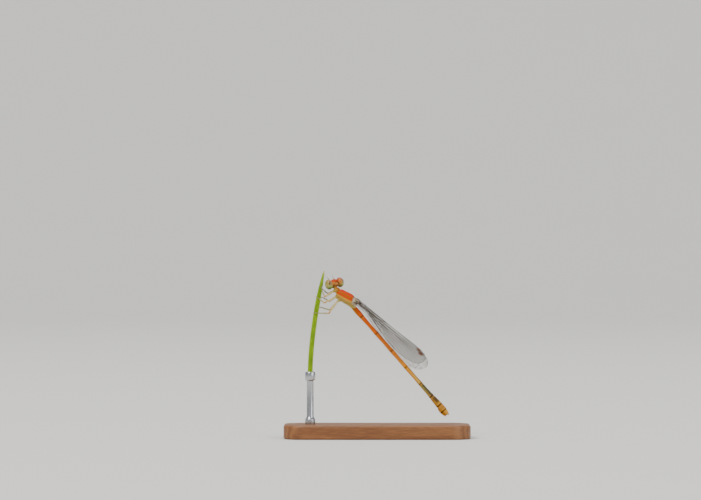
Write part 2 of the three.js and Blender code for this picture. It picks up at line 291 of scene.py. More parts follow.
class Field:
    """A value that changes over a surface."""

    def __init__(self, finish, socket):
        self.finish = finish
        self.socket = socket

    __add__ = __radd__ = sum_of("ADD")
    __mul__ = __rmul__ = sum_of("MULTIPLY")
    __sub__, __rsub__ = sum_of("SUBTRACT"), sum_of("SUBTRACT", True)
    __truediv__, __rtruediv__ = sum_of("DIVIDE"), sum_of("DIVIDE", True)
    __pow__, __rpow__ = sum_of("POWER"), sum_of("POWER", True)
    __abs__ = sum_of("ABSOLUTE")

    def __neg__(self):
        return 0 - self

    def above(self, edge, soft):
        """0 below an edge and 1 above it, with a soft step."""
        ends = {"From Min": edge - soft, "From Max": edge + soft}
        return self.finish.node("ShaderNodeMapRange", {"interpolation_type": "SMOOTHSTEP"}, self, **ends)

    def between(self, low, high, soft):
        return self.above(low, soft) * (1 - self.above(high, soft))


class Finish:
    """One material: a Principled shader and what feeds it."""

    def __init__(self, name, **constants):
        self.material = bpy.data.materials.new(name)
        self.material.use_nodes = True
        self.tree = self.material.node_tree
        self.shader = self.tree.nodes["Principled BSDF"]
        for key, value in constants.items():
            self.socket(key).default_value = value

    def socket(self, key):
        return self.shader.inputs[key.replace("_", " ")]

    def node(self, kind, settings=None, *values, out=0, **named_values):
        """Adds a node: its settings first, then its sockets' values or links."""
        made = self.tree.nodes.new(kind)
        for key, value in (settings or {}).items():
            if key == "stops":
                ramp = made.color_ramp.elements
                while len(ramp) < len(value):
                    ramp.new(0.5)
                for stop, (place, colour) in zip(ramp, value):
                    stop.position = place
                    stop.color = colour
            else:
                setattr(made, key, value)
        for key, value in [*enumerate(values), *named_values.items()]:
            if isinstance(value, Field):
                self.tree.links.new(value.socket, made.inputs[key])
            elif value is not None:
                made.inputs[key].default_value = value
        return Field(self, made.outputs[out])

    def point_in(self, home):
        """The point in mm in a frame."""
        place = self.node("ShaderNodeTexCoord", out="Object")
        fit = [home.translation * MM, home.to_euler(), (MM, MM, MM)]
        return self.node("ShaderNodeMapping", {"vector_type": "TEXTURE"}, place, *fit)

    def inside(self, home):
        """The point's x, y and z in mm in a frame, and the point itself."""
        point = self.point_in(home)
        outputs = self.node("ShaderNodeSeparateXYZ", None, point).socket.node.outputs
        return [Field(self, outputs[axis]) for axis in "XYZ"] + [point]

    def stretched(self, point, *scale):
        return self.node("ShaderNodeMapping", None, point, Scale=scale)

    def noise(self, point, scale, detail=3):
        return self.node("ShaderNodeTexNoise", None, point, Scale=scale, Detail=detail)

    def mix(self, factor, a, b):
        values = [factor, None, None, None, None, None, a, b]
        return self.node("ShaderNodeMix", {"data_type": "RGBA"}, *values, out=2)

    def paint(self, colour, *coats):
        """Lays coats over a colour in turn, each a mask and a colour."""
        for mask, coat in coats:
            colour = self.mix(mask, colour, coat)
        return colour

    def bump(self, height, micrometres):
        self.feed(Normal=self.node("ShaderNodeBump", None, Height=height, Distance=micrometres * 1e-6))

    def feed(self, **fields):
        for key, field in fields.items():
            self.tree.links.new(field.socket, self.socket(key))
        return self.material


DEEPEN = 1.35  # soft light and a soft picture make colours paler, so each starts deeper


def tint(*screen):
    """A colour as a screen shows it, 0 to 255, as the shader's linear one, deepened."""
    def linear(value):
        value /= 255
        flat = value / 12.92 if value < 0.04045 else ((value + 0.055) / 1.055) ** 2.4
        return flat**DEEPEN

    return (*map(linear, screen), 1)


def mottled(name, home, scale, dark, light, **constants):
    """A plain finish that wanders between two colours."""
    finish = Finish(name, **constants)
    return finish.feed(Base_Color=finish.mix(finish.noise(finish.point_in(home), scale, 2), dark, light))


print("mid grey in the shader:", [round(v, 3) for v in tint(128, 128, 128)])

# %% [markdown]
# ## The stand
# The base is a small block of oiled wood and the rod is turned steel with a collar at each end.
# A cube whose upright corners are bevelled, then its rims, catches the light as a sanded block
# does. The wood's grain is stretched noise along the block, with fine pores in the bump.

# %% Wood and steel
def wood_finish():
    finish = Finish("oiled wood")
    point = finish.point_in(STAND)
    along = finish.stretched(point, 0.12, 1, 1.6)
    bands = {"bands_direction": "Y"}
    rings = finish.node("ShaderNodeTexWave", bands, along, Scale=0.42, Distortion=7, Detail=4)
    fibres = finish.noise(finish.stretched(point, 0.5, 9, 9), 1.6, 5)
    shade = (rings * 0.3 + fibres * 0.8).above(0.55, 0.35)
    colour = finish.mix(shade, tint(138, 94, 56), tint(174, 128, 82))
    finish.bump(fibres, 25)
    return finish.feed(Base_Color=colour, Roughness=0.4 + fibres * 0.2)


def steel_finish():
    finish = Finish("turned steel", Metallic=1)
    lines = finish.noise(finish.stretched(finish.point_in(STAND), 1, 1, 30), 3, 2)
    colour = finish.mix(lines, tint(186, 188, 190), tint(214, 216, 218))
    finish.bump(lines, 4)
    return finish.feed(Base_Color=colour, Roughness=0.2 + lines * 0.16)


# %% The base and the rod
CORNER, RIM = 3, 0.3  # the base's rounding at its upright corners and round its faces
ROD_THIN, ROD_WIDE = 0.5, 0.75  # radii of the rod and of its collars
FOOT = [  # height over the base and radius
    (0, ROD_WIDE - 0.06), (0.06, ROD_WIDE), (0.7, ROD_WIDE), (0.8, ROD_WIDE - 0.08),
    (0.95, ROD_THIN + 0.08), (1.15, ROD_THIN),
]
CUP = [  # depth under its rim, where the leaf's cut foot is, and radius
    (1.45, ROD_THIN), (1.3, ROD_THIN + 0.02), (1.2, ROD_WIDE - 0.04), (1.12, ROD_WIDE),
    (0.15, ROD_WIDE), (0.02, ROD_WIDE - 0.06), (0, ROD_WIDE - 0.14),
]


def in_mm(node):
    """A solid's lowest and highest corner, in mm."""
    return [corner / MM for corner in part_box(node)]


def wooden_base():
    low, high = in_mm("stand_base")
    pick()
    bpy.ops.mesh.primitive_cube_add(size=1, location=(low + high) / 2, scale=high - low)
    base = named("base_block")
    apply_place()
    bpy.ops.object.mode_set(mode="EDIT")
    bpy.ops.mesh.select_mode(type="EDGE")
    bpy.ops.mesh.select_all(action="DESELECT")
    for edge in bmesh.from_edit_mesh(base.data).edges:
        a, b = edge.verts
        edge.select_set(abs(a.co.z - b.co.z) > 1)
    bpy.ops.mesh.bevel(offset=CORNER, segments=12)
    bpy.ops.object.mode_set(mode="OBJECT")
    modify(base, "BEVEL", width=RIM, segments=4, limit_method="ANGLE", angle_limit=radians(60))
    set_down(base, STAND, wood_finish(), "base_wood", "stand_base")


def steel_rod():
    low, high = in_mm("stand_rod")
    middle = (low + high) / 2
    foot, rim = in_mm("stand_base")[1].z, in_mm("perch_blade")[0].z
    profile = [(foot + up, radius) for up, radius in FOOT]
    profile += [(rim - down, radius) for down, radius in CUP]

    def ring(turn, z, radius):
        x, y = around(turn)
        return Vector((middle.x + radius * x, middle.y + radius * y, z))

    rings = [lambda turn, z=z, radius=radius: ring(turn, z, radius) for z, radius in profile]
    rod = grow("steel_rod", rings, sides=40)
    modify(rod, "BEVEL", width=0.02, segments=2, limit_method="ANGLE", angle_limit=radians(30))
    set_down(rod, STAND, steel_finish(), "rod_steel", "stand_rod")


wooden_base()
steel_rod()

# %% [markdown]
# ## The leaf blade
# The insect holds on to a narrow leaf, hardly wider than a grass stem. The blade is a flattened
# tube that leans and curves up to a pale tip, with a shallow channel down its face and fine ribs
# along it. A leaf lets light through, so its shader has a little glow under the skin.

# %% The leaf
LEAF = {"x": -9.68, "y": 0.5, "foot": 9.6, "tip": 24.3, "lean": 2.03, "bend": 1.65}
LEAF_WIDTH, LEAF_THICKNESS, LEAF_TIP, LEAF_TAPER = 0.74, 0.5, 0.1, 4.6
CHANNEL, RIBS, RIB_HEIGHT = 0.28, 14, 0.012


def leaf_x(z):
    t = (z - LEAF["foot"]) / (LEAF["tip"] - LEAF["foot"])
    return LEAF["x"] + LEAF["lean"] * t ** LEAF["bend"]


def leaf_finish():
    glow = {"Subsurface_Weight": 0.25, "Subsurface_Scale": 0.0004, "Subsurface_Radius": (0.6, 1, 0.2)}
    finish = Finish("leaf", Specular_IOR_Level=0.2, **glow)
    x, _, z, point = finish.inside(STAND)
    ribs = finish.noise(finish.stretched(point, 1, 1, 0.07), 9, 3)
    blotches = finish.noise(point, 0.9, 4)
    up = (z - LEAF["foot"]) / (LEAF["tip"] - LEAF["foot"])
    centre = up ** LEAF["bend"] * LEAF["lean"] + LEAF["x"]
    edge = abs(x - centre) / (LEAF_WIDTH / 2)
    green = finish.paint(
        tint(136, 172, 0),
        (blotches.above(0.5, 0.2), tint(162, 192, 4)),
        (ribs.above(0.5, 0.15) * 0.6, tint(112, 142, 0)),
        (edge.above(0.8, 0.2) * 0.75, tint(206, 214, 92)),
        (z.above(22.9, 0.9) * 0.6, tint(186, 200, 84)),
        (z.above(23.95, 0.3), tint(214, 200, 150)),  # the dry tip
    )
    finish.bump(ribs, 14)
    return finish.feed(Base_Color=green, Roughness=0.36 + ribs * 0.2)


def leaf_blade():
    rings = []
    for z in stations(LEAF["foot"] - 0.3, LEAF["tip"] - 0.02, 48):
        t = max((LEAF["tip"] - z) / LEAF_TAPER, 0)
        half = min(1, LEAF_TIP + (1 - LEAF_TIP) * sqrt(t)) / 2
        middle = Vector((leaf_x(max(z, LEAF["foot"])), LEAF["y"], z))

        def ring(turn, middle=middle, half=half):
            x, y = around(turn)
            across = x * LEAF_WIDTH * half
            out = y * LEAF_THICKNESS * half * (1 - CHANNEL + CHANNEL * abs(x) ** 0.5)
            ribs = RIB_HEIGHT * cos(RIBS * 2 * pi * turn) * min(1, t)
            return middle + Vector((across * (1 + ribs), out * (1 + ribs), 0))

        rings.append(ring)
    set_down(grow("leaf_blade", rings, sides=56), STAND, leaf_finish(), "leaf", "perch_blade")


leaf_blade()

# %% [markdown]
# ## Skin of the body
# An insect's skin is a thin, hard, slightly waxy shell. One rule gives the shine and the fine
# wrinkles and every part adds its own colours. The stripes and rings are written as sums over the
# point's place in the body's frame, so they run on from piece to piece.

# %% Body colours
RED_ORANGE, OLIVE_ORANGE = tint(206, 86, 0), tint(182, 122, 0)
TAN, PALE_GREY = tint(190, 166, 92), tint(212, 204, 182)
SHELL = {
    "Specular_IOR_Level": 0.13,
    "Subsurface_Weight": 0.12,
    "Subsurface_Scale": 0.0002,
    "Subsurface_Radius": (1, 0.5, 0.2),
}


def wrinkled(finish, point, depth=5):
    fine = finish.noise(point, 26, 4)
    finish.bump(fine, depth)
    return fine


# %% [markdown]
# ## The tail
# The tail, or abdomen, is ten tubes in a row, each a little waisted and swollen where it meets the
# next, the last two short and stout. One long skin keeps it whole: the stations are set close
# together at each joint, where a fine groove and a ring of skin show.

# %% The tail's colours
JOINTS = [0, 1.67, 4.92, 8.25, 11.39, 14.57, 16.99, 18.71, 19.72, 20.35]
LENGTHWISE = [  # place and colour, from the thorax to the tail's end
    (0, 150, 104, 34), (1.2, 208, 114, 0), (4.5, 220, 126, 0), (8.3, 236, 152, 10),
    (11.4, 229, 166, 50), (14.3, 210, 176, 102), (15.2, 166, 160, 98), (16.9, 184, 156, 92),
    (17.6, 188, 148, 68), (20.4, 222, 178, 86),
]


def tail_finish():
    finish = Finish("tail skin", **SHELL)
    x, _, z, point = finish.inside(BODY)
    fine = wrinkled(finish, point)
    stops = [(place / JOINTS[-1], tint(*colour)) for place, *colour in LENGTHWISE]
    colour = finish.node("ShaderNodeValToRGB", {"stops": stops}, x / JOINTS[-1])
    height = z / 0.3 + (finish.noise(point, 2.2, 4) - 0.5) * 0.8
    red = finish.mix(x.above(7, 4), tint(208, 88, 0), tint(220, 126, 0))
    line = height.above(0.75, 0.3) * x.between(11.6, 14.4, 0.3)
    saddle = height.above(0.15, 0.4) * x.between(14.55, 18.2, 0.25)
    cap = height.above(0.2, 0.4) * x.between(18.6, 19.5, 0.2)
    colour = finish.paint(
        colour,
        (height.above(0.35, 0.45) * (1 - x.above(9.5, 3)) * 0.6, red),
        ((-height).above(0.45, 0.4) * 0.5, tint(212, 160, 60)),
        (line * 0.7, tint(118, 84, 50)),
        (saddle * 0.8, tint(80, 70, 58)),
        (cap * 0.4, tint(160, 74, 30)),
    )
    for joint in JOINTS[1:-1]:
        pale = x.between(joint + 0.06, joint + 0.24, 0.08) * 0.35
        ring = x.between(joint - 0.12, joint + 0.02, 0.03) * 0.95
        colour = finish.paint(colour, (pale, tint(222, 168, 84)), (ring, tint(78, 38, 10)))
    return finish.feed(Base_Color=colour, Roughness=0.34 + fine * 0.16)


# %% The tail
SEGMENTS = ["s1_s2", "s3", "s4", "s5", "s6", "s7", "s8", "s9_s10"]
GIRTH = [  # place, half width, half height
    (0, 0.36, 0.36), (0.6, 0.4, 0.41), (1.67, 0.34, 0.35), (3.3, 0.28, 0.29), (4.92, 0.32, 0.32),
    (6.6, 0.28, 0.29), (8.25, 0.32, 0.32), (9.8, 0.28, 0.29), (11.39, 0.32, 0.32),
    (13, 0.28, 0.29), (14.57, 0.33, 0.33), (15.8, 0.31, 0.32), (16.99, 0.37, 0.38),
    (18.71, 0.46, 0.5), (19.6, 0.46, 0.49), (20.35, 0.33, 0.35),
]
BEHIND, BEFORE = (0.02, 0.05, 0.1, 0.18), (0.16, 0.08, 0.03)  # close stations at each joint


def pinch(place):
    """The girth's share at a place: a groove just behind a joint, a swelling before it."""
    away = place - min(JOINTS[1:-1], key=lambda x: abs(x - place))
    if 0 <= away < 0.12:
        return 0.93 - 0.3 * max(0, 0.04 - abs(away - 0.02))
    return 1.03 if -0.2 < away < 0 else 1


def tail(material):
    places = [-0.25]
    for start, end in zip(JOINTS, JOINTS[1:]):
        places += [start + step for step in BEHIND]
        places += stations(start + 0.3, end - 0.25, max(2, round((end - start) / 0.35)))
        places += [end - step for step in BEFORE]
    rings = []
    for place in places:
        wide, tall = [half * pinch(place) for half in smooth_table(GIRTH, place)]

        def ring(turn, place=place, wide=wide, tall=tall):
            up, across = around(turn)
            return Vector((place, across * wide, up * tall * (1 if up > 0 else 0.94)))

        rings.append(ring)
    nodes = [f"abdomen_{part}" for part in SEGMENTS]
    set_down(grow("tail_skin", rings, sides=32), BODY, material, "abdomen_skin", *nodes)


tail_material = tail_finish()
tail(tail_material)

# %% [markdown]
# ## The tail's end
# The tail ends in two short claspers, and a female has a pair of curved blades underneath, which
# cut a plant's stem open for the eggs. Each is a short tube with few stations, rounded by one level
# of subdivision, and all are joined into one mesh with the two small lumps that fill the end.

# %% The tail's end
CLASPER = [  # places are measured from the tail's end, on the right side
    ((-0.35, 0.16, 0.1), 0.11), ((-0.05, 0.19, 0.14), 0.12), ((0.12, 0.2, 0.15), 0.1),
    ((0.24, 0.19, 0.14), 0.06), ((0.28, 0.18, 0.13), 0.02),
]
BLADE = [
    ((-1.5, 0.09, -0.42), 0.06), ((-1.2, 0.1, -0.48), 0.12), ((-0.6, 0.1, -0.5), 0.13),
    ((-0.15, 0.09, -0.42), 0.1), ((0.08, 0.07, -0.34), 0.05), ((0.14, 0.06, -0.32), 0.015),
]
STYLUS = [((0.02, 0.08, -0.34), 0.025), ((0.16, 0.09, -0.26), 0.018), ((0.26, 0.09, -0.24), 0.006)]


def at_the_end(line, side):
    return [((JOINTS[-1] + x, side * y, z), radius) for (x, y, z), radius in line]


def tail_end():
    """Two claspers and a little bump between them above, and the egg-laying blades below."""
    parts = []
    for side in (-1, 1):
        parts.append(rounded(tube("clasper", at_the_end(CLASPER, side), 10)))
        parts.append(rounded(tube("blade", at_the_end(BLADE, side), 10)))
        parts.append(tube("stylus", at_the_end(STYLUS, side), 6))
    parts.append(ball((JOINTS[-1] - 0.02, 0, 0.06), (0.14, 0.2, 0.26)))
    parts.append(ball((JOINTS[-1] - 0.04, 0, -0.14), (0.12, 0.22, 0.16)))
    set_down(joined("tail_end", parts), BODY, tail_material, "abdomen_skin")


tail_end()

# %% [markdown]
# ## The thorax
# The thorax is the box of flight muscle: a keeled roof that slopes up from the neck to the wing
# bases, then falls steeply to the tail. It is grown like the tail, but each ring is pointed at the
# top. The wing hinges and the leg bases are lumps melted into it. The seams between its plates are
# pressed in afterwards, and the keel is raised.

# %% The thorax's colours
def thorax_finish():
    finish = Finish("thorax skin", **SHELL)
    x, y, z, point = finish.inside(BODY)
    fine = wrinkled(finish, point, 7)
    wander = (finish.noise(point, 3, 3) - 0.5) * 0.08
    depth = (x + 3.3) * 0.4 + 0.42 - z + wander  # below the line of the keel
    streaks = depth.between(1.1, 1.17, 0.03) + depth.between(1.36, 1.42, 0.03)
    colour = finish.paint(
        RED_ORANGE,
        (depth.above(0.31, 0.05), OLIVE_ORANGE),
        (depth.above(0.48, 0.05), tint(206, 78, 0)),
        (depth.above(0.7, 0.05), tint(204, 140, 50)),
        (depth.above(0.88, 0.06), tint(216, 172, 90)),
        (depth.above(1.04, 0.06), TAN),
        (streaks * 0.55, tint(132, 92, 44)),
        (depth.above(1.5, 0.1) * 0.6, tint(196, 182, 118)),
    )
    rearward = x + z * 0.71 + wander * 3  # towards the wing bases, which are pale grey and brown
    grey = finish.paint(
        PALE_GREY,
        (finish.noise(point, 3.2, 2).above(0.58, 0.12) * 0.8, tint(158, 136, 106)),
        (rearward.between(-0.62, -0.4, 0.08) * z.above(0.66, 0.1) * 0.6, tint(124, 88, 72)),
        (z.above(1.06, 0.06) * 0.7, tint(124, 92, 70)),
    )
    # painted shade under the wing hinges: a dark bar on each side, low on the hinge lumps and in the
    # hollow below them
    bar = (z - 0.25 * x).between(0.88, 1.02, 0.04) * x.between(-0.82, -0.1, 0.08)
    colour = finish.paint(
        colour,
        (rearward.above(-0.58, 0.08) * z.above(0.28, 0.12), grey),
        (bar * abs(y).above(0.26, 0.04) * 0.95, tint(70, 44, 12)),
    )
    return finish.feed(Base_Color=colour, Roughness=0.36 + fine * 0.18)


# %% The thorax
THORAX = [  # place, underside, middle, top, half width
    (-3.5, -0.46, -0.1, 0.2, 0.36),
    (-3.3, -0.66, -0.1, 0.42, 0.54),
    (-2.7, -0.9, -0.06, 0.7, 0.73),
    (-2.1, -0.83, 0.02, 0.96, 0.83),
    (-1.5, -0.64, 0.12, 1.14, 0.86),
    (-0.9, -0.44, 0.2, 1.1, 0.77),
    (-0.45, -0.36, 0.22, 0.84, 0.58),
    (-0.13, -0.31, 0.16, 0.5, 0.4),
    (0.05, -0.28, 0.05, 0.38, 0.34),
]
THORAX_ROOF = 1.5  # 2 would be round, and less draws the back up to a keel
HINGES_AND_HIPS = [  # six lumps at the wings, one above the tail and two at the legs
    ((-1.15, 0.36, 0.76), (0.62, 0.3, 0.27), (0, 12, 0)),
    ((-0.84, 0.62, 0.84), (0.3, 0.27, 0.24)),
    ((-0.76, 0.86, 0.92), (0.19, 0.12, 0.26), (0, -14, 0)),
    ((-0.52, 0.34, 0.74), (0.36, 0.26, 0.34)),
    ((-0.42, 0.26, 0.96), (0.26, 0.16, 0.18)),
    ((-0.28, 0.25, 1.0), (0.19, 0.1, 0.24), (0, -14, 0)),
    ((-0.42, 0.42, 0.45), (0.3, 0.18, 0.22)),
    ((-2.95, 0.34, -0.78), (0.3, 0.24, 0.26)),
    ((-2.35, 0.34, -0.78), (0.32, 0.24, 0.28)),
]
KEEL = [(-3.35, 0, 0.42), (-2.7, 0, 0.72), (-2.1, 0, 0.98), (-1.62, 0, 1.14)]
SIDE_SEAMS = [
    [(-3.2, 0.62, 0.02), (-2.2, 0.86, 0.36), (-1.5, 0.72, 0.78)],
    [(-2.75, 0.72, -0.35), (-1.9, 0.9, 0.08), (-1.15, 0.84, 0.5)],
    [(-2.1, 0.62, -0.5), (-1.4, 0.84, -0.05), (-0.7, 0.7, 0.42)],
    [(-2.9, 0.4, -0.72), (-2.1, 0.5, -0.62), (-1.2, 0.5, -0.36)],
]


def thorax_ring(place):
    under, middle, top, wide = smooth_table(THORAX, place)

    def ring(turn):
        up, across = around(turn)
        if up < 0:
            height = up * (middle - under)
        else:
            height = sqrt(max(0, 1 - abs(across) ** THORAX_ROOF)) * (top - middle)
        return Vector((place, across * wide, middle + height))

    return ring


def thorax():
    parts = [grow("thorax_skin", [thorax_ring(x) for x in stations(-3.5, 0.05, 44)], sides=64)]
    parts += balls(HINGES_AND_HIPS, -1) + balls(HINGES_AND_HIPS, 1)
    parts.append(ball((-0.72, 0, 0.9), (0.4, 0.3, 0.2), (0, 30, 0)))
    skin = weld("thorax_skin", parts, grain=0.028, smoothing=8)
    crease(skin, KEEL, width=0.07, depth=-0.035)
    for side in (-1, 1):
        for seam in SIDE_SEAMS:
            crease(skin, on_side(seam, side), width=0.06, depth=0.03)
    set_down(skin, BODY, thorax_finish(), "thorax_skin", "thorax")


thorax()

# %% [markdown]
# ## The neck shield
# Between head and thorax sits a small collar of three lobes, the last one standing up like a
# frill. The front legs hang from it. Balls melted together give its soft, lumpy form.

# %% The collar
LOBES = [
    ((-3.92, 0, -0.16), (0.2, 0.42, 0.34)),
    ((-3.68, 0, -0.16), (0.2, 0.5, 0.4)),
    ((-3.5, 0, -0.08), (0.1, 0.5, 0.42), (0, -14, 0)),
    ((-3.72, 0.24, -0.02), (0.16, 0.2, 0.24)),
    ((-3.72, -0.24, -0.02), (0.16, 0.2, 0.24)),
    ((-4.15, 0, -0.16), (0.3, 0.22, 0.22)),
    ((-3.8, 0.34, -0.5), (0.2, 0.2, 0.28)),
    ((-3.8, -0.34, -0.5), (0.2, 0.2, 0.28)),
    ((-3.5, 0, -0.3), (0.3, 0.38, 0.3)),
]


def collar_finish():
    finish = Finish("collar skin", **SHELL)
    _, _, z, point = finish.inside(BODY)
    fine = wrinkled(finish, point, 7)
    spots = finish.noise(point, 3.5, 2).above(0.56, 0.05) * 0.7
    coats = (z.above(-0.1, 0.2), tint(190, 140, 60)), (spots, tint(112, 76, 34))
    return finish.feed(Base_Color=finish.paint(TAN, *coats), Roughness=0.4 + fine * 0.16)


collar = weld("collar_skin", balls(LOBES), grain=0.022, smoothing=4)
set_down(collar, BODY, collar_finish(), "thorax_skin", "prothorax")

# %% [markdown]
# ## The head
# A damselfly's head is a dumb-bell: a bar with a great round eye at each end, and a short face
# that steps out between them in shelves. Balls stand for the crown, brow, the two plates of the
# face, the upper lip, jaws and lower lip, and they are melted into one skin. The seams between
# the plates and the line of the mouth are then pressed in.

# %% The head's colours
def head_finish():
    finish = Finish("head skin", **SHELL)
    x, y, z, point = finish.inside(HEAD)
    fine = wrinkled(finish, point, 6)
    wander = (finish.noise(point, 4, 2) - 0.5) * 0.12
    high, ahead, side = z + wander, x + wander, abs(y)
    back = (-x).above(0.02, 0.08)
    crown = finish.mix(finish.noise(point, 3).above(0.5, 0.1), tint(206, 78, 0), tint(192, 100, 10))
    far = (-y).above(0, 0.1)  # the side that the camera sees best
    band = abs(side + z + wander * 0.6 - 0.38 - far * 0.1) - far * 0.04
    # a slanting dark band behind each eye, wider and darker on the far side
    dark_behind_eyes = (1 - band.above(0.1, 0.07)) * z.between(-0.3, 0.44, 0.08) * (far * 0.45 + 0.4)
    colour = finish.paint(
        tint(190, 120, 48),
        (high.above(0.2, 0.14), crown),
        (ahead.above(0.3, 0.08) * (1 - z.above(0.12, 0.06)), tint(206, 128, 52)),  # face
        (ahead.above(0.2, 0.1) * (1 - z.above(-0.36, 0.03)), tint(212, 176, 92)),  # lips
        # painted shadow under the shelf of the face
        (z.between(-0.34, -0.28, 0.02) * x.above(0.45, 0.05) * 0.5, tint(120, 60, 24)),  # shelf
        (back * (1 - high.above(0.3, 0.1)), tint(212, 156, 92)),  # back of the head
        (dark_behind_eyes * back, tint(84, 56, 12)),
        (side.between(0.58, 0.66, 0.03) * back * z.above(-0.2, 0.2) * 0.7, tint(226, 178, 104)),
        ((-z).above(0.06, 0.14) * back * 0.75, tint(122, 76, 44)),  # nape
    )
    return finish.feed(Base_Color=colour, Roughness=0.38 + fine * 0.16)


# %% The head's skin
EYE_APART, EYE_SIZE = 1.97, (0.68, 0.54, 0.73)
FACE_LUMPS = [
    ((-0.08, 0, 0.02), (0.46, 0.98, 0.56)),
    ((0.06, 0, 0.16), (0.44, 0.62, 0.46)),
    ((0.36, 0, 0.04), (0.34, 0.5, 0.28)),
    ((0.5, 0, -0.2), (0.25, 0.42, 0.15)),
    ((0.5, 0, -0.36), (0.19, 0.36, 0.1)),
    ((0.46, 0, -0.51), (0.22, 0.34, 0.13), (0, -14, 0)),
    ((0.12, 0, -0.56), (0.32, 0.32, 0.16)),
    ((-0.26, 0, 0.1), (0.3, 0.8, 0.42)),
]
JAW_AND_BROW = [((0.3, 0.38, -0.36), (0.2, 0.15, 0.24)), ((0.12, 0.24, 0.46), (0.18, 0.16, 0.14))]
MIDDLE_SEAMS = [  # each with its width and depth
    ([(0.66, -0.4, -0.08), (0.76, 0, -0.07), (0.66, 0.4, -0.08)], 0.05, 0.025),
    ([(0.6, -0.36, -0.3), (0.76, 0, -0.3), (0.6, 0.36, -0.3)], 0.045, 0.03),
    ([(0.55, -0.34, -0.43), (0.7, 0, -0.44), (0.55, 0.34, -0.43)], 0.04, 0.03),
    ([(0.3, -0.34, -0.56), (0.6, 0, -0.62), (0.3, 0.34, -0.56)], 0.05, 0.04),
    ([(0.0, 0, -0.72), (0.36, 0, -0.72)], 0.035, 0.025),
    ([(0.3, -0.55, 0.34), (0.5, 0, 0.36), (0.3, 0.55, 0.34)], 0.06, 0.02),
    ([(-0.3, -0.7, 0.42), (-0.34, 0, 0.5), (-0.3, 0.7, 0.42)], 0.06, -0.02),
    ([(-0.46, 0, 0.4), (-0.54, 0, 0.1)], 0.05, 0.02),
]
BACK_SEAMS = [
    ([(-0.4, 0.22, 0.36), (-0.5, 0.42, 0.05), (-0.36, 0.6, -0.26)], 0.13, 0.07),
    ([(-0.3, 0.6, 0.4), (-0.42, 0.68, 0.0)], 0.07, -0.04),
]


def head_skin():
    parts = balls(FACE_LUMPS) + balls(JAW_AND_BROW, -1) + balls(JAW_AND_BROW, 1)
    skin = weld("head_skin", parts, grain=0.018, smoothing=3)
    for line, width, depth in MIDDLE_SEAMS:
        crease(skin, line, width, depth)
    for side in (-1, 1):
        for line, width, depth in BACK_SEAMS:
            crease(skin, on_side(line, side), width, depth)
    return skin


def on_skin(skin, start, direction):
    """Where a ray from outside meets a skin."""
    hit, place, _, _ = skin.ray_cast(Vector(start), Vector(direction))
    assert hit, "the ray misses"
    return place


skin = head_skin()
OCELLI = [on_skin(skin, (1.2, 0, 1.2), (-1, 0, -1))]
OCELLI += [on_skin(skin, (0.24, side * 0.26, 2), (0, 0, -1)) for side in (-1, 1)]
SOCKETS = {side: on_skin(skin, (1.5, side * 0.34, 0.24), (-1, 0, 0)) for side in (-1, 1)}
print("feeler sockets:", [[round(v, 2) for v in place] for place in SOCKETS.values()])
set_down(skin, HEAD, head_finish(), "head_skin", "head")

# %% [markdown]
# ## The eyes
# Each eye is a dome of some three thousand tiny lenses. At this size they read as a soft sheen, so
# they are a fine honeycomb in the bump, over zones of colour: green below, tan above, rust on top,
# and the dark false pupil that looks out of every such eye.

# %% The eyes
def eye_finish(side, hand):
    finish = Finish(f"eye {hand}", Specular_IOR_Level=0.3, Coat_Weight=0.25)
    x, y, z, point = finish.inside(HEAD)
    cells = finish.node("ShaderNodeTexVoronoi", None, point, Scale=34, Randomness=0.3)
    wander = (finish.noise(point, 3.2, 3) - 0.5) * 0.3
    out = y * side - EYE_APART / 2  # away from the middle of the head
    round_it = x * -0.616 + out * -0.788 + wander * 0.4
    rear = (-x).above(-0.3, 0.2)
    height, inner = z + wander, (-out).above(0.1, 0.12)
    tan_band = round_it.between(-0.3, -0.14, 0.08) * z.between(-0.35, 0.45, 0.12) * rear
    mauve = round_it.between(0.0, 0.42, 0.08) * z.between(0.04, 0.66, 0.14) * rear
    across, up = (round_it - 0.1) / 0.11, (z - 0.33) / 0.22
    pupil = 1 - (across * across + up * up).above(0.9, 0.8)
    colour = finish.paint(
        tint(90, 108, 20),
        (height.above(-0.36, 0.28), tint(172, 180, 104)),
        (height.above(0.4, 0.2) * 0.6, tint(186, 136, 76)),
        (x.above(0.1, 0.25) * height.above(0.05, 0.2), tint(176, 136, 70)),
        (tan_band * 0.6, tint(196, 142, 80)),
        (mauve * 0.8, tint(164, 112, 92)),
        (inner * z.above(-0.12, 0.2) * 0.85, tint(206, 130, 34)),
        (inner * (1 - z.above(-0.3, 0.24)) * 0.6, tint(152, 104, 64)),
        (inner * height.above(0.54, 0.12) * 0.9, tint(208, 84, 4)),
        (pupil * rear * 0.8, tint(96, 48, 28)),
    )
    finish.bump(1 - cells, 5)
    return finish.feed(Base_Color=colour, Roughness=0.2 + cells * 0.2)


def eye(side, hand):
    pick(ball((0, side * EYE_APART / 2, 0), EYE_SIZE, segments=64))
    apply_place()
    set_down(named(f"eye_dome_{hand}"), HEAD, eye_finish(side, hand), "eye", f"eye_{hand}")


eye(1, "left")
eye(-1, "right")

# %% [markdown]
# ## Simple eyes and feelers
# Between the big eyes sit three simple ones, glassy beads that only tell light from dark, and two
# feelers, each two stout joints and a whip. Their places could be read off by eye, but the melted
# skin moved a little, so a ray sent in from outside has already found where each one stands.

# %% Ocelli and feelers
LOWER = [(0, 0.085), (0.3, 0.09), (0.42, 0.07), (0.5, 0.06), (0.62, 0.062), (0.9, 0.048), (1, 0.03)]


def ocelli():
    """The three simple eyes, beads of glass on the brow."""
    beads = [ball(place, (0.055, 0.055, 0.055), segments=20) for place in OCELLI]
    shine = {"Roughness": 0.12, "Coat_Weight": 1}
    glass = mottled("simple eye", HEAD, 8, tint(120, 60, 20), tint(214, 150, 70), **shine)
    set_down(joined("ocelli", beads), HEAD, glass, "eye")


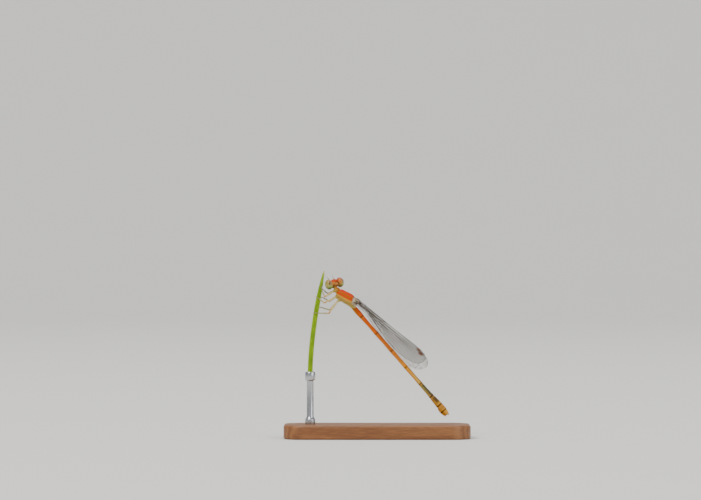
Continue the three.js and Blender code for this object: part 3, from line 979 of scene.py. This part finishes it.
def feeler_finish():
    finish = Finish("feeler skin", **SHELL)
    x, _, _, point = finish.inside(HEAD)
    colour = finish.mix(x.above(0.78, 0.08), tint(186, 128, 58), tint(74, 50, 30))
    return finish.feed(Base_Color=colour, Roughness=0.4 + finish.noise(point, 20, 2) * 0.2)


def feeler(side, hand, material):
    root = SOCKETS[side] - Vector((0.04, 0, 0))
    knee = Vector((0.8, side * 0.42, 0.62))
    tip = Vector((1.24, side * 0.58, 1.14))
    middle = knee.lerp(tip, 0.5) + Vector((0.03, 0, -0.02))
    line = [(root.lerp(knee, t), radius) for t, radius in LOWER]
    line += [(knee.lerp(middle, 0.4), 0.024), (middle, 0.02)]
    line += [(middle.lerp(tip, 0.5), 0.015), (tip, 0.006)]
    whip = rounded(tube(f"feeler_{hand}", line, 10))
    set_down(whip, HEAD, material, "feeler", f"antenna_{hand}")


ocelli()
feeler_material = feeler_finish()
feeler(1, "left", feeler_material)
feeler(-1, "right", feeler_material)

# %% [markdown]
# ## The legs
# Six thin legs reach forward and close round the blade. Each has a long thigh, a thinner shin, a
# foot of three short joints with a pair of hooks, and two rows of stiff bristles. The hip and the
# knee are set in the body's frame, the ankle and the toe by their height on the blade. One bristle
# is modelled and then copied.

# %% The legs' colours
def leg_finish():
    finish = Finish("leg skin", **SHELL)
    point = finish.point_in(STAND)
    along = finish.node("ShaderNodeAttribute", {"attribute_name": "along"}, out="Fac")
    fine = wrinkled(finish, point, 4)
    colour = finish.paint(
        tint(206, 190, 136),
        (finish.noise(point, 5, 3).above(0.5, 0.2), tint(222, 206, 156)),
        (along.between(0.84, 1.14, 0.12) * 0.6, tint(200, 138, 66)),  # knee
        (along.above(1.2, 0.12) * 0.8, tint(180, 184, 138)),  # shin
        (along.above(1.95, 0.06) * 0.5, tint(140, 116, 76)),  # foot
    )
    return finish.feed(Base_Color=colour, Roughness=0.4 + fine * 0.16)


# %% The legs' places
TO_BODY = BODY.inverted()
LEGS = {  # hip and knee in the body's frame; ankle and toe as height, across and out on the blade
    "front_left": [(-3.85, -0.42, -0.7), (-4.1, -1.42, -1.83), (21.2, 0.42, -0.78), (21.95, 0.06, -0.28)],
    "front_right": [(-3.85, 0.42, -0.7), (-4.12, 1.3, -1.8), (21.25, 0.75, 0.8), (21.75, 0.12, 0.3)],
    "middle_left": [(-3.0, -0.42, -0.9), (-3.48, -1.9, -2.4), (20.13, 0.2, -0.82), (20.45, -0.3, -0.3)],
    "middle_right": [(-3.0, 0.42, -0.9), (-3.16, 1.62, -2.5), (20.3, 0.75, 0.85), (20.5, 0.05, 0.3)],
    "hind_left": [(-2.4, -0.42, -0.95), (-1.91, -1.87, -2.93), (18.12, 0.4, -0.82), (18.14, -0.3, -0.28)],
    "hind_right": [(-2.4, 0.42, -0.95), (-2.14, 1.36, -3.2), (18.86, 0.8, 0.85), (19.0, 0.1, 0.32)],
}
# Places along each part of a leg, 0 to 1, and the radius there.
THIGH = [(0.12, 0.135), (0.25, 0.15), (0.45, 0.145), (0.7, 0.13), (0.88, 0.12)]
SHIN = [(0.1, 0.095), (0.3, 0.1), (0.6, 0.095), (0.85, 0.09), (0.96, 0.1)]
SOLE = [
    (0.06, 0.065), (0.2, 0.075), (0.24, 0.055), (0.34, 0.07), (0.45, 0.078),
    (0.49, 0.055), (0.6, 0.07), (0.84, 0.08), (0.95, 0.06), (1, 0.03),
]
CLAW = [(0, 0.03), (0.35, 0.026), (0.7, 0.018), (1, 0.004)]


def on_blade(height, across, out):
    return TO_BODY @ Vector((leaf_x(height) + across, LEAF["y"] + out, height))


# %% [markdown]
# ## Bristles and claws
# The stiff bristles make a basket of the legs, for catching gnats in flight. A hair system would
# do for a picture, but its hairs aren't a mesh. So one thin cone is bent, and a copy is set at
# each root, a little out of line at random. The hooked claws are tubes.

# %% Bristles
def one_bristle():
    pick()
    bpy.ops.mesh.primitive_cone_add(vertices=5, radius1=0.009, radius2=0.0015, depth=1)
    bristle = named("bristle")
    bpy.ops.object.mode_set(mode="EDIT")
    bpy.ops.transform.translate(value=(0, 0, 0.5))
    bpy.ops.mesh.subdivide(number_cuts=1)
    bpy.ops.object.mode_set(mode="OBJECT")
    for vertex in bristle.data.vertices:
        vertex.co.x += 0.12 * vertex.co.z**2
    return bristle


def copies(model, places):
    """A copy of a model at each matrix, each with its own mesh."""
    made = []
    for place in places:
        twin = model.copy()
        twin.data = model.data.copy()
        twin.matrix_world = place
        bpy.context.collection.objects.link(twin)
        made.append(twin)
    return made


def bristle_places(start, end, thick, count, length, spread):
    """Matrices for two rows of bristles down the lower side of a limb."""
    along = (end - start).normalized()
    down = Vector((0, 0, -1)) - along * Vector((0, 0, -1)).dot(along)
    down.normalize()
    side = along.cross(down)
    places = []
    for row in (-1, 1):
        lean = down * 0.6 + side * row * spread
        for n in range(count):
            t = 0.12 + 0.8 * (n + 0.25 * row) / count
            out = (lean + along * 0.75).normalized()
            out = (out + 0.12 * Vector([rng.uniform(-1, 1) for _ in range(3)])).normalized()
            root = start.lerp(end, t) + lean * thick * 0.8
            aim = out.to_track_quat("Z", "X").to_matrix().to_4x4()
            stretch = Matrix.Diagonal((1, 1, length * rng.uniform(0.8, 1.15), 1))
            places.append(Matrix.Translation(root) @ aim @ stretch)
    return places


# %% Making the legs
def leg_line(hip, knee, ankle, toe):
    """Points, radii and place along the leg: 0 hip, 1 knee, 2 ankle, 3 toe."""
    def limb(start, end, number, rows):
        return [(start.lerp(end, t), radius, number + t) for t, radius in rows]

    out = (knee - hip).normalized()
    bow = -0.05 * ((ankle - knee).normalized() - out).normalized()
    line = [(hip - out * 0.1, 0.15, -0.1), (hip + out * 0.08, 0.15, 0), (hip + out * 0.2, 0.11, 0.02)]
    line += limb(hip, knee, 0, THIGH)
    line += [(knee.lerp(hip, 0.03) + bow, 0.13, 0.96), (knee.lerp(ankle, 0.03) + bow, 0.12, 1.03)]
    return line + limb(knee, ankle, 1, SHIN) + limb(ankle, toe, 2, SOLE)


def mark_along(skin, line):
    """Writes each vertex's place along the leg into the mesh, for the shader."""
    marks = skin.data.attributes.new("along", "FLOAT", "POINT")
    for number, vertex in enumerate(skin.data.vertices):
        nearest = min(line, key=lambda station: (station[0] - vertex.co).length_squared)
        marks.data[number].value = nearest[2]


def claws(ankle, toe):
    ahead = (toe - ankle).normalized()
    side = ahead.cross(Vector((0.2, 0.9, 0.4))).normalized()
    over = side.cross(ahead)

    def spot(way, t):
        return toe + ahead * (0.16 * t) + side * way * (0.03 + 0.05 * t) - over * 0.07 * t * t

    return [tube("claw", [(spot(way, t), radius) for t, radius in CLAW], 6) for way in (-1, 1)]


rng = random.Random(11)
leg_material = leg_finish()
hair_material = mottled("bristle", STAND, 4, tint(110, 84, 48), tint(142, 112, 68), Roughness=0.45)
bristle = one_bristle()
for name, (hip, knee, ankle, toe) in LEGS.items():
    hip, knee, ankle, toe = Vector(hip), Vector(knee), on_blade(*ankle), on_blade(*toe)
    line = leg_line(hip, knee, ankle, toe)
    limb = rounded(tube(f"leg_skin_{name}", [station[:2] for station in line], 12))
    limb = joined(limb.name, [*claws(ankle, toe), limb])
    mark_along(limb, line)
    set_down(limb, BODY, leg_material, "leg_skin", f"leg_{name}")
    places = bristle_places(hip, knee, thick=0.13, count=6, length=0.28, spread=0.8)
    places += bristle_places(knee, ankle, thick=0.09, count=7, length=0.34, spread=0.9)
    hairs = joined(f"leg_bristles_{name}", copies(bristle, places))
    set_down(hairs, BODY, hair_material, "leg_skin")
bpy.data.objects.remove(bristle)

# %% [markdown]
# ## The wings
# A wing is a clear film a hundredth of a millimetre thick, held out by a net of veins. The long
# veins fan from the narrow stalk, and short ones cross between them, which makes the cells. The
# film is a grid bent to the outline and pleated a little, as the real one is, and it stays a single
# sheet, because a second face so close behind it would only darken it. The veins are curves with a
# round section, turned to mesh. Everything is measured along the wing and across it, from the root
# and from the leading edge, as fractions.

# %% The wing's outline and long veins
COURSES = {  # points along and across
    "leading": [(0, 0), (0.7, 0), (0.88, -0.01), (0.945, -0.08), (0.982, -0.2), (1, -0.4)],
    "trailing": [
        (0, -0.17), (0.14, -0.2), (0.21, -0.3), (0.31, -0.48), (0.45, -0.74), (0.58, -0.91),
        (0.71, -1), (0.82, -0.985), (0.905, -0.9), (0.96, -0.75), (0.99, -0.56), (1, -0.4),
    ],
    "subcosta": [(0, -0.06), (0.2, -0.09), (0.33, -0.075), (0.38, -0.012)],
    "radius": [(0, -0.12), (0.2, -0.15), (0.38, -0.135), (0.7, -0.125), (0.9, -0.14), (0.95, -0.1)],
    "first": [(0.19, -0.2), (0.38, -0.225), (0.6, -0.24), (0.8, -0.26), (0.93, -0.28), (0.985, -0.25)],
    "between": [(0.72, -0.3), (0.85, -0.36), (0.995, -0.42)],
    "second": [(0.58, -0.245), (0.7, -0.35), (0.85, -0.49), (0.972, -0.68)],
    "third": [(0.36, -0.23), (0.55, -0.36), (0.75, -0.55), (0.93, -0.84)],
    "fourth": [(0.32, -0.23), (0.5, -0.43), (0.7, -0.67), (0.87, -0.945)],
    "middle": [(0.2, -0.21), (0.3, -0.31), (0.46, -0.52), (0.62, -0.75), (0.77, -0.995)],
    "hind": [(0.19, -0.24), (0.26, -0.36), (0.4, -0.58), (0.52, -0.75), (0.62, -0.94)],
}
THICKNESS = {  # of the long veins, in the order in which they are drawn
    "subcosta": 1.1, "radius": 1.5, "first": 1.2, "between": 0.9, "second": 1,
    "third": 1, "fourth": 1.1, "middle": 1.1, "hind": 1.1,
}
CELLS = [  # upper vein, lower vein, from, to, how many cross veins
    ("leading", "radius", 0.4, 0.82, 11),
    ("radius", "first", 0.4, 0.93, 15),
    ("first", "third", 0.4, 0.57, 4),
    ("first", "second", 0.61, 0.71, 3),
    ("first", "between", 0.74, 0.97, 8),
    ("between", "second", 0.74, 0.96, 8),
    ("second", "third", 0.61, 0.92, 12),
    ("third", "fourth", 0.38, 0.86, 14),
    ("fourth", "middle", 0.34, 0.76, 13),
    ("middle", "hind", 0.25, 0.61, 10),
    ("hind", "trailing", 0.24, 0.6, 11),
    ("middle", "trailing", 0.63, 0.75, 4),
    ("fourth", "trailing", 0.78, 0.85, 3),
    ("third", "trailing", 0.88, 0.92, 2),
]
STOUT_CROSSINGS = [(0.11, "leading", "radius"), (0.2, "leading", "radius"), (0.38, "leading", "first")]
STALK_LINKS = [(0.02, [(0.19, -0.145), (0.192, -0.24)]), (0.016, [(0.27, -0.275), (0.262, -0.36)])]
ROOTS = [  # the stout stubs that the veins spring from: along, across, radius
    [(-0.012, -0.06, 0.05), (-0.002, -0.05, 0.055), (0.012, -0.03, 0.04), (0.04, -0.02, 0.026)],
    [(-0.012, -0.1, 0.04), (-0.002, -0.11, 0.045), (0.012, -0.13, 0.035), (0.04, -0.15, 0.02)],
]
EDGE_VEIN, BACK_VEIN, LONG_VEIN = 0.038, 0.023, 0.02  # radii at the root
CROSS_VEIN, STOUT_VEIN = 0.015, 0.022
TAPER = 0.35  # the share of its thickness that a vein loses by the tip


def across_at(name, u):
    """How far across the wing an edge or a long vein runs, at a place along it."""
    return smooth_table(COURSES[name], u)[0]


def course(name, places):
    return [(u, across_at(name, u)) for u in places]


# %% The film
WINGS = {  # length, width, slope, distance from the middle plane, root's place
    "forewing": (13.95, 2.75, 9.7, 0.9, (-0.72, 1.12)),
    "hindwing": (12.7, 2.35, 10.9, 0.24, (-0.24, 1.2)),
}
STAGGER = 0.5  # degrees by which the left pair is raised and the right pair lowered
PLEAT, PLEATS = 0.045, 26  # the film's corrugation: its depth in mm and how close its waves are
FILM_GRID = {"x_subdivisions": 110, "y_subdivisions": 24}
FILM_END, CROWDING = 0.999, 1.6  # how far out the film goes, and closer rows at the round tip


def wing_home(kind, side):
    _, _, slope, apart, (x, z) = WINGS[kind]
    lift = Matrix.Rotation(radians(side * STAGGER - slope), 4, "Y")
    return BODY @ Matrix.Translation((x, side * apart, z)) @ lift


def wing_point(kind, u, v):
    length, width = WINGS[kind][:2]
    fade = min(u * 4, 1) * (1 - 0.6 * u)
    return Vector((u * length, PLEAT * sin(v * PLEATS) * fade, v * width))


def film_finish():
    finish = Finish("wing film", Roughness=0.3, IOR=1.5, Specular_IOR_Level=0.25)
    point = finish.point_in(BODY)
    cloud = finish.noise(point, 1.1, 3)
    finish.bump(finish.noise(point, 6, 2), 10)
    colour = finish.mix(cloud, tint(110, 100, 72), tint(90, 80, 56))
    return finish.feed(Base_Color=colour, Alpha=0.05 + cloud * 0.08)


def film(kind, hand, side, material):
    pick()
    bpy.ops.mesh.primitive_grid_add(size=2, **FILM_GRID)
    sheet = named(f"{kind}_film_{hand}")
    for vertex in sheet.data.vertices:
        along, across = (vertex.co.x + 1) / 2, (vertex.co.y + 1) / 2
        u = FILM_END * (1 - (1 - along) ** CROWDING)
        top, low = across_at("leading", u), across_at("trailing", u)
        vertex.co = wing_point(kind, u, low + (top - low) * across)
    set_down(sheet, wing_home(kind, side), material, "wing_film", f"{kind}_{hand}")


# %% The veins
def vein_lines(rng):
    """Every vein as (radius, points along and across)."""
    edge = stations(0, 0.94, 26) + [1 - 0.06 * (1 - t) ** 2 for t in stations(0, 1, 8)]
    rear = [1 - 0.1 * t * t for t in stations(0, 1, 10)] + stations(0.88, 0, 36)
    lines = [(EDGE_VEIN, course("leading", edge)), (BACK_VEIN, course("trailing", rear))]
    for name, thickness in THICKNESS.items():
        points = COURSES[name]
        places = stations(points[0][0], points[-1][0], 16)
        lines.append((LONG_VEIN * thickness, course(name, places)))
    for upper, lower, start, end, count in CELLS:
        for u in stations(start, end, count):
            u += rng.uniform(-0.2, 0.2) * (end - start) / count
            lean = rng.uniform(-0.004, 0.004)
            lines.append((CROSS_VEIN, course(upper, [u]) + course(lower, [u + lean])))
    for u, upper, lower in STOUT_CROSSINGS:
        ends = [(u, across_at(upper, u)), (u, across_at(lower, max(u, 0.19)))]
        lines.append((STOUT_VEIN, ends))
    return lines + STALK_LINKS


def veins(kind, hand, side, material, rng):
    pick()
    bpy.ops.curve.primitive_bezier_curve_add()
    net = named(f"{kind}_veins_{hand}")
    net.data.splines.clear()
    net.data.bevel_depth = 1
    net.data.bevel_resolution = 1
    net.data.use_fill_caps = True
    threads = [[(u, v, radius * (1 - TAPER * u)) for u, v in line] for radius, line in vein_lines(rng)]
    for thread in threads + ROOTS:
        spline = net.data.splines.new("POLY")
        spline.points.add(len(thread) - 1)
        for spot, (u, v, radius) in zip(spline.points, thread):
            spot.co = (*wing_point(kind, u, v), 1)
            spot.radius = radius
    bpy.ops.object.convert(target="MESH")
    set_down(bpy.context.object, wing_home(kind, side), material, "wing_film")


# %% [markdown]
# ## The spot near the tip
# At the front edge each wing has one thick dark cell, whose weight keeps the wing steady in a
# glide. It could be a patch of colour on the film, but it stands out a little on the real wing, so
# it is a small brick, slanted like the cell and rounded at its edges.

# %% The spot near the tip
def wing_spot(kind, hand, side, material):
    """The little dark cell near the tip, a slanted brick between two veins."""
    pick()
    bpy.ops.mesh.primitive_cube_add(size=2)
    spot = named(f"{kind}_spot_{hand}")
    for vertex in spot.data.vertices:
        x, y, z = vertex.co
        place = wing_point(kind, 0.87 + 0.024 * x + 0.007 * z, -0.07 + 0.048 * z)
        vertex.co = place + Vector((0, 0.016 * y, 0))
    modify(spot, "BEVEL", width=0.03, segments=3, limit_method="NONE")
    set_down(spot, wing_home(kind, side), material, "wing_film")


# %% Making the wings
film_material = film_finish()
vein_material = mottled("wing vein", BODY, 1.5, tint(70, 54, 36), tint(98, 78, 54), Roughness=0.4)
spot_material = mottled("wing spot", BODY, 3, tint(126, 84, 58), tint(152, 106, 76), Roughness=0.35)
for kind in WINGS:
    for hand, side in (("left", -1), ("right", 1)):
        film(kind, hand, side, film_material)
        veins(kind, hand, side, vein_material, random.Random(5))
        wing_spot(kind, hand, side, spot_material)

# %% [markdown]
# ## Light, floor and camera
# The photograph was taken level with the insect, from about 60 cm away with a long lens. The
# camera stands there. A pale floor runs into a backdrop of the same colour, and three large soft
# lamps stand for the sky above, the key light from the left and a fill from the right.

# %% The stage
SWEEP, STEPS = 0.13, 12  # the floor bends up into the backdrop: metres a step, and steps
MIDDLE = (-0.004, 0, 0.015)


def stage():
    pick()
    bpy.ops.mesh.primitive_plane_add(size=1)
    floor = named("floor")
    bpy.ops.object.mode_set(mode="EDIT")
    bpy.ops.transform.resize(value=(4, 2.6, 1))
    bpy.ops.transform.translate(value=(0, -0.3, 0))
    bpy.ops.mesh.select_all(action="DESELECT")
    for edge in bmesh.from_edit_mesh(floor.data).edges:
        edge.select_set(all(vertex.co.y > 0.5 for vertex in edge.verts))
    for turn in range(STEPS):
        angle = radians(90 * (turn + 0.5) / STEPS)
        step = (0, SWEEP * cos(angle), SWEEP * sin(angle))
        bpy.ops.mesh.extrude_region_move(TRANSFORM_OT_translate={"value": step})
    bpy.ops.mesh.extrude_region_move(TRANSFORM_OT_translate={"value": (0, 0, 1)})
    bpy.ops.object.mode_set(mode="OBJECT")
    bpy.ops.object.shade_smooth_by_angle(angle=CREASE_ANGLE)
    pale = tint(236, 235, 231), tint(238, 237, 233)
    floor.data.materials.append(mottled("paper backdrop", STAND, 0.02, *pale, Roughness=0.9))


def lamp(name, place, size, power, colour):
    bpy.ops.object.light_add(type="AREA", location=place)
    light = named(name)
    light.data.shape = "DISK"
    light.data.size = size
    light.data.energy = power
    light.data.color = colour
    light.rotation_euler = (Vector(MIDDLE) - Vector(place)).to_track_quat("-Z", "Y").to_euler()


stage()
lamp("key", (-0.9, -1.2, 1.5), size=0.9, power=30, colour=(1, 0.97, 0.93))
lamp("fill", (1.3, -1.0, 0.7), size=1.2, power=12, colour=(0.94, 0.97, 1))
lamp("sky", (0, 0.3, 2.2), size=1.6, power=22, colour=(1, 1, 1))
world = bpy.data.worlds.new("studio")
world.use_nodes = True
sky = world.node_tree.nodes["Background"].inputs
sky["Color"].default_value = (0.9, 0.92, 0.95, 1)
sky["Strength"].default_value = 0.45
bpy.context.scene.world = world

# %% The camera
PHOTO_WIDTH, PHOTO_SCALE = 701, 6.9  # pixels, and pixels to the mm at the insect
DISTANCE, SENSOR = 600, 36
AIM = Vector((-3.84, 0, 27.26))
bpy.ops.object.camera_add(location=(AIM - Vector((0, DISTANCE, 0))) * MM, rotation=(pi / 2, 0, 0))
camera = named("camera")
camera.data.sensor_width = SENSOR
camera.data.lens = SENSOR * DISTANCE / (PHOTO_WIDTH / PHOTO_SCALE)
camera.data.clip_start = 0.01
bpy.context.scene.camera = camera
print("lens in mm:", round(camera.data.lens, 1))
